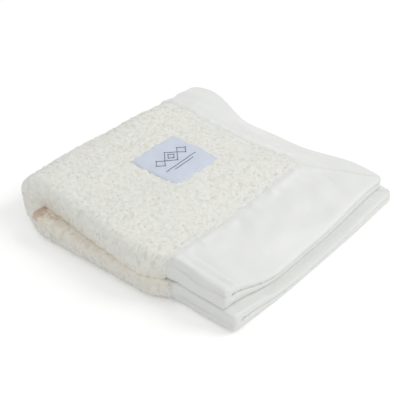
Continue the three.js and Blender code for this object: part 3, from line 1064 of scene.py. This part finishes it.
def relief(at, a, seed, along_roll):
    """The satin's small hills and hollows, in mm outward: at runs along the seam, a across it."""

    def pattern(kind, number):
        _, length, across_share = kind
        return soft_noise(at, a * across_share, length, seed + number)

    from_seam = np.maximum(a, 0)
    height = PUCKERS[0] * pattern(PUCKERS, 0) * np.exp(-from_seam / PUCKER_REACH)
    height += GATHERS[0] * pattern(GATHERS, 1) * np.exp(-from_seam / GATHER_REACH)
    in_middle = smooth(a, *WAVES_COME) * (1 - smooth(a, *WAVES_GO))
    height += WAVES[0] * pattern(WAVES, 2) * in_middle
    # Sharp wrinkles lie along the zero lines of a slower pattern, and only in patches
    wrinkle_line = bell(pattern(WRINKLES, 3), WRINKLE_WIDTH)
    patches = smooth(pattern(WRINKLE_PATCHES, 4), 0.0, 0.8)
    height -= WRINKLES[0] * wrinkle_line * patches
    beads = BEAD_FULLNESS + BEADS[0] * pattern(BEADS, 7)
    height += beads * bell(a - BEAD_MIDDLE, BEAD_REACH)
    # The seam holds the satin down
    height = height * smooth(np.abs(a - STITCHES_FROM_SEAM), 0.1, 1.3)
    if not along_roll:
        height = height * SIDE_RELIEF_SHARE
    height -= STITCH_DIP * bell(a - STITCHES_FROM_SEAM, STITCH_DIP_REACH)
    if along_roll:
        sharp_lines = bell(pattern(SHARP_PLEATS, 6), SHARP_PLEAT_WIDTH)
        pleats = PLEATS[0] * pattern(PLEATS, 5) - SHARP_PLEATS[0] * sharp_lines
        height += pleats * bell(at, PLEAT_REACH) * smooth(a, -1, 5)
    return height


def pressed_satin(n, v, a, tall, along_roll):
    """The satin's height where the halves press it flat, and where it turns at the first fold."""
    hem_or_roll = np.maximum(smooth(a, *HEM_PRESSED), 1 - smooth(-v, *ROLL_PRESS_GONE))
    pressed = tall * smooth(-v, *SATIN_PRESSED) * hem_or_roll
    n = mix(n, FLEECE_THICKNESS + press_loft(v, BOOK_RADIUS + SATIN_MEET, SATIN_POWER), pressed)
    if along_roll:
        ply = np.maximum(FOLD_AIR / 2 + n, FOLD_AIR / 2)
        n = n + (boxy_ply(v, ply, ply, RIDGE_POWER) - ply) * tall * (1 - pressed)
    return n


def ribbon(name, fixed, to_mitre, flat_place, seed, along_roll):
    """A satin ribbon folded over one hem. Rows run along it, and out to the mitres."""
    across, height, side = ribbon_section()
    edge = np.stack([np.gradient(across), np.gradient(height)])
    around = np.cumsum(np.hypot(*edge))
    edge /= np.linalg.norm(edge, axis=0)
    inner = (across + edge[1] * SATIN_PLY, height - edge[0] * SATIN_PLY, SATIN_PLY)
    at_fixed, mitre = np.abs(fixed)[:, None], to_mitre[:, None]
    upper = side[None, :] > 0
    points, flat_u, uv = [], [], []
    for a, h, above_floor in (inner, (across, height, 0.0)):
        corner = SEAM_LINE + a[None, :] - MITRE_GAP
        at = np.sign(fixed)[:, None] * mix(at_fixed, np.maximum(corner, at_fixed), mitre)
        out = np.broadcast_to(SEAM_LINE + a[None, :], at.shape)
        u, v = flat_place(at, out)
        along = v if along_roll else u
        change = relief(along + side[None, :] * FACE_SHIFT, out - SEAM_LINE, seed, along_roll)
        if along_roll:
            # Round the first fold both faces have one pattern, because the pleats run on over it
            roll = relief(along, out - SEAM_LINE, seed + 20, along_roll)
            change = mix(roll, change, smooth(np.abs(along), *PLEAT_ROLL))
        # The puckers lie flatter on the faces that the two halves press on each other
        inside = smooth(-v, *INSIDE_COMES) * upper
        to_corner = np.abs(corner - np.abs(at))
        change = change * smooth(to_corner, 0, FLAT_AT_MITRE) * (1 - INSIDE_RELIEF_SHARE * inside)
        change -= MITRE_DIP * np.exp(-to_corner / MITRE_DIP_REACH)
        tall = np.clip(np.abs(h) / LOFT_HALF, 0, 1)[None, :]
        n = MID_PLANE + h[None, :] + side[None, :] * change * tall
        n = np.where(upper, pressed_satin(n, v, out - SEAM_LINE, tall, along_roll), n)
        n = np.where(inside > 0, np.minimum(n, BOOK_RADIUS + SATIN_MEET - FOLD_AIR / 2), n)
        ply_points = place(*soft_corner(u, v), np.maximum(n, SATIN_CLEARANCE - FOLD_AIR / 2))
        lowest = (FLOOR_CLEARANCE + above_floor) * MM
        ply_points[..., 2] = np.maximum(ply_points[..., 2], lowest)
        points.append(ply_points)
        flat_u.append(u)
        uv.append(np.stack([at, np.broadcast_to(around, at.shape)], axis=-1) * MM)
    piece = closed_sheet(name, np.stack(points), np.stack(flat_u), np.stack(uv))
    piece.data.materials.append(BLANKET_SATIN)
    return piece


def soft_corner(u, v):
    """Rounds the blanket's corners, where one hem turns into the next."""
    past_u = np.maximum(np.abs(u) - (HALF_SIDE - HEM_CORNER_ROUND), 0)
    past_v = np.maximum(np.abs(v) - (HALF_SIDE - HEM_CORNER_ROUND), 0)
    drawn_in = 1 - np.maximum(past_u, past_v) / np.maximum(np.hypot(past_u, past_v), 0.001)
    return u - np.sign(u) * past_u * drawn_in, v - np.sign(v) * past_v * drawn_in


def mitred(*stops):
    """Rows from stop to stop and then out to the mitre, and how far each has turned to it."""
    places = spaced(0.0, *stops, (RIBBON_END, RIBBON_STEPS[2]))
    fixed = np.concatenate([places, np.full(MITRE_ROWS, places[-1])])
    out = np.linspace(0, 1, MITRE_ROWS + 1)[1:]
    return fixed, np.concatenate([np.zeros(len(places)), out])


def end_ribbon(label, half):
    """The ribbon on the hem that faces away from the second fold. It runs round the first one."""
    fixed, to_mitre = mitred((ROLL_HALF, RIBBON_STEPS[0]))
    rows = (both_ways(fixed), np.concatenate([to_mitre[:0:-1], to_mitre]))
    name = f"satin_end_{label}"
    return ribbon(
        name, *rows, lambda at, out: (half * out, at), seed=40 + half, along_roll=True
    )


def side_ribbon(label, half, face, side):
    """Half of a ribbon that goes through the second fold."""
    rows = mitred(FOLD_START, (BOOK_HALF, RIBBON_STEPS[1]))
    name = f"satin_side_{face}_{label}"
    return ribbon(
        name, *rows, lambda at, out: (half * at, side * out), seed=60 + side, along_roll=False
    )


# ---- the label
def label_top(x, y):
    """Height of the pile's top under a place on the label, in millimetres."""
    return 2 * STACK_HALF * settled_share(x, y)


def label_points(across, back, lift):
    """Points of the label, by their places from its own middle, in metres in the part's frame."""
    x = LABEL_MIDDLE[0] + across * math.cos(LABEL_TURN) - back * math.sin(LABEL_TURN)
    y = LABEL_MIDDLE[1] + across * math.sin(LABEL_TURN) + back * math.cos(LABEL_TURN)
    to_edge = LABEL_SIDE / 2 - np.maximum(np.abs(across), np.abs(back))
    ripple = LABEL_RIPPLE * soft_noise(across, back, LABEL_RIPPLE_LENGTH, seed=5)
    ripple -= LABEL_EDGE_DIP * np.exp(-np.maximum(to_edge, 0) / LABEL_EDGE_REACH)
    z = label_top(x, y) + LABEL_CLEARANCE + ripple + lift
    return (np.stack([x, y, z], axis=-1) + OFFSET) * MM


def woven_label():
    places = np.linspace(-LABEL_SIDE / 2, LABEL_SIDE / 2, 60)
    across, back = np.meshgrid(places, places, indexing="ij")
    points = np.stack([label_points(across, back, lift) for lift in LABEL_FACES])
    uv = np.stack([np.stack([across, back], axis=-1)] * 2) * MM
    piece = closed_sheet("label_cloth", points, np.ones((2, *across.shape)) * SEAM_LINE, uv)
    piece.data.materials.append(LABEL_WEAVE)
    return piece


# ---- threads
def sewn(name, lines, thread, material):
    """Stitches along lines, each line its points in metres and its places on the flat blanket."""
    pitch, length, thickness = thread
    points = np.concatenate([line for line, _ in lines])
    edges, first = [], 0
    for line, _ in lines:
        edges.extend([[first + i, first + i + 1] for i in range(len(line) - 1)])
        first += len(line)
    mesh = bpy.data.meshes.new("line")
    mesh.from_pydata(points.tolist(), edges, [])
    add_values(mesh, "flat_u", np.concatenate([u for _, u in lines]))
    values = {
        "Stitch": STITCH,
        "Pitch": pitch * MM,
        "Stitch Size": (thickness * MM, thickness * MM, length * MM),
        "Material": material,
    }
    return grown(name, new_object("line", mesh), STITCH_TREE, values)


def border_line(half):
    """The line of the border's seam round one half of the blanket, on its pile side."""
    out = SEAM_LINE + STITCHES_FROM_SEAM
    leg = np.linspace(0, out, 160)
    cross = np.linspace(-out, out, 320)[1:-1]
    u = half * np.concatenate([leg, np.full(len(cross), out), leg[::-1]])
    v = np.concatenate([np.full(len(leg), -out), cross, np.full(len(leg), out)])
    crown = mix(SEAM_HALF, LOFT_HALF, smooth(STITCHES_FROM_SEAM, 0, CROWN_WIDTH))
    n = np.full(u.shape, MID_PLANE + crown - STITCH_DIP + STITCH_LIFT)
    on_end = np.abs(u) > out - 0.01
    n = np.where(on_end, pressed_satin(n, v, STITCHES_FROM_SEAM, 1.0, True), n)
    return place(u, v, n), u


def label_line(across, back, lift):
    """A line of thread on the label, which lies past the second fold as the seam does."""
    return label_points(across, back, lift), np.full(len(across), SEAM_LINE)


def label_edge_line():
    side = LABEL_SIDE / 2 - LABEL_SEAM_INSET
    run = np.linspace(-side, side, 40)
    edge = np.full(40, side)
    across = np.concatenate([run, edge, -run, -edge])
    back = np.concatenate([-edge, run, edge, -run])
    return label_line(across, back, LABEL_SEAM_LIFT)


def label_motif_lines():
    """A plain ornament: three rhombi, a small one inside the middle one, and two lines below."""
    lines = []
    corners = np.array([[1, 0], [0, 1], [-1, 0], [0, -1], [1, 0]], float)
    run = np.linspace(0, 1, 8)[:, None]
    for middle, half_long in MOTIF_RHOMBI:
        for a, b in zip(corners[:-1], corners[1:]):
            line = (a + (b - a) * run) * half_long + (middle, MOTIF_RHOMBI_BACK)
            lines.append(label_line(-line[:, 1], line[:, 0], MOTIF_LIFT))
    for front, half_long in MOTIF_LINES:
        line = np.linspace(-half_long, half_long, 40)
        lines.append(label_line(np.full(40, front), line, MOTIF_LIFT))
    return lines


# ---- making the blanket
SHERPA_WOOL = sherpa_wool()
BLANKET_SATIN = blanket_satin()
LABEL_WEAVE = label_weave()
WHITE_THREAD = sewing_thread("white_thread", "#dfe2df", "#f4f5f2")
NAVY_THREAD = sewing_thread("navy_thread", "#3a4360", "#59627f")
PILE_TREE = pile_tree()
STITCH_TREE = stitch_tree()
WISPS = wisp_shapes()
STITCH = stitch_shape()

for label, half in (("lower", -1), ("upper", 1)):
    ground = fleece(label, half)
    piles = [fleece_wisps(label, half, "outer", 1), fleece_wisps(label, half, "inner", -1)]
    fleece_nodes = [f"sherpa_{label}", "sherpa_fold"]
    end = end_ribbon(label, half)
    sides = [side_ribbon(label, half, "outer", 1), side_ribbon(label, half, "inner", -1)]
    seam = sewn(f"border_stitches_{label}", [border_line(half)], BORDER_THREAD, WHITE_THREAD)
    for piece in [ground, *piles, *sides, seam]:
        follow_fold(piece, half)
    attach(end, f"{label}_half")
    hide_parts(*fleece_nodes)
    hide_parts(f"end_binding_{label}")
    for piece, face in zip(sides, ("outer", "inner")):
        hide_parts(f"side_binding_{face}_{label}", f"side_binding_{face}_fold")

cloth_label = woven_label()
label_edge = sewn("label_stitches", [label_edge_line()], LABEL_THREAD, WHITE_THREAD)
motif = sewn("label_motif", label_motif_lines(), MOTIF_THREAD, NAVY_THREAD)
for piece in (cloth_label, label_edge, motif):
    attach(piece, "upper_half")
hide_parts("woven_label")

for shape in [*WISPS.objects, STITCH]:
    bpy.data.objects.remove(shape)
bpy.data.collections.remove(WISPS)


# ---- floor, light and camera
def seen_plainly(tree):
    """1 where the camera sees something itself or in a gloss, 0 for its light on other things."""
    path = add_node(tree, "ShaderNodeLightPath").outputs
    rays = {0: path["Is Camera Ray"], 1: path["Is Glossy Ray"]}
    return add_node(tree, "ShaderNodeMath", rays, operation="MAXIMUM")


def plain_floor():
    """Matt white paper, brought to full white for the camera wherever no shadow falls."""
    material, tree = new_material("stage_paper")
    seen = seen_plainly(tree)
    glow = add_node(tree, "ShaderNodeMath", {0: seen, 1: FLOOR_GLOW}, operation="MULTIPLY")
    colours = {"Base Color": linear("#fbfbfb"), "Emission Color": linear("#ffffff")}
    surface(material, {**colours, "Emission Strength": glow}, 0.9, 0.1, 0.0)
    corners = FLOOR_HALF * np.array([[-1, -1, 0], [1, -1, 0], [1, 1, 0], [-1, 1, 0]])
    floor = new_piece("floor", corners, [[0, 1, 2, 3]])
    floor.data.materials.append(material)


def soft_lamp(name, place_at, size, power):
    lamp = bpy.data.lights.new(name, "AREA")
    lamp.shape = "DISK"
    lamp.size = size
    lamp.energy = power
    holder = new_object(name, lamp)
    holder.location = place_at
    holder.rotation_mode = "QUATERNION"
    holder.rotation_quaternion = (Vector(LAMP_AIM) - Vector(place_at)).to_track_quat("-Z", "Y")


def studio():
    """A pale sky that the camera sees as full white, and the lamps."""
    world = bpy.data.worlds.new("studio")
    bpy.context.scene.world = world
    world.use_nodes = True
    tree = world.node_tree
    tree.nodes.clear()
    levels = {"Value": seen_plainly(tree), "To Min": SKY_LEVEL, "To Max": 1.0}
    strength = add_node(tree, "ShaderNodeMapRange", levels)
    sky = add_node(tree, "ShaderNodeBackground", {"Color": (1, 1, 1, 1), "Strength": strength})
    add_node(tree, "ShaderNodeOutputWorld", {"Surface": sky})
    for name, lamp in LAMPS.items():
        soft_lamp(name, *lamp)


def photo_camera():
    """A camera at the photograph's viewing angle."""
    data = bpy.data.cameras.new("camera")
    data.sensor_width = SENSOR
    data.lens = CAMERA_FOCUS_PIXELS / IMAGE_PIXELS * SENSOR
    data.clip_start = 0.05
    data.clip_end = 20
    camera = new_object("camera", data)
    back = Vector(
        (
            math.sin(CAMERA_AZIMUTH) * math.cos(CAMERA_ELEVATION),
            -math.cos(CAMERA_AZIMUTH) * math.cos(CAMERA_ELEVATION),
            math.sin(CAMERA_ELEVATION),
        )
    )
    target = Vector((CAMERA_TARGET + OFFSET) * MM)
    camera.location = target + back * CAMERA_DISTANCE * MM
    camera.rotation_mode = "QUATERNION"
    camera.rotation_quaternion = (-back).to_track_quat("-Z", "Y")
    bpy.context.scene.camera = camera


plain_floor()
studio()
photo_camera()
bpy.context.scene.view_settings.view_transform = "Standard"
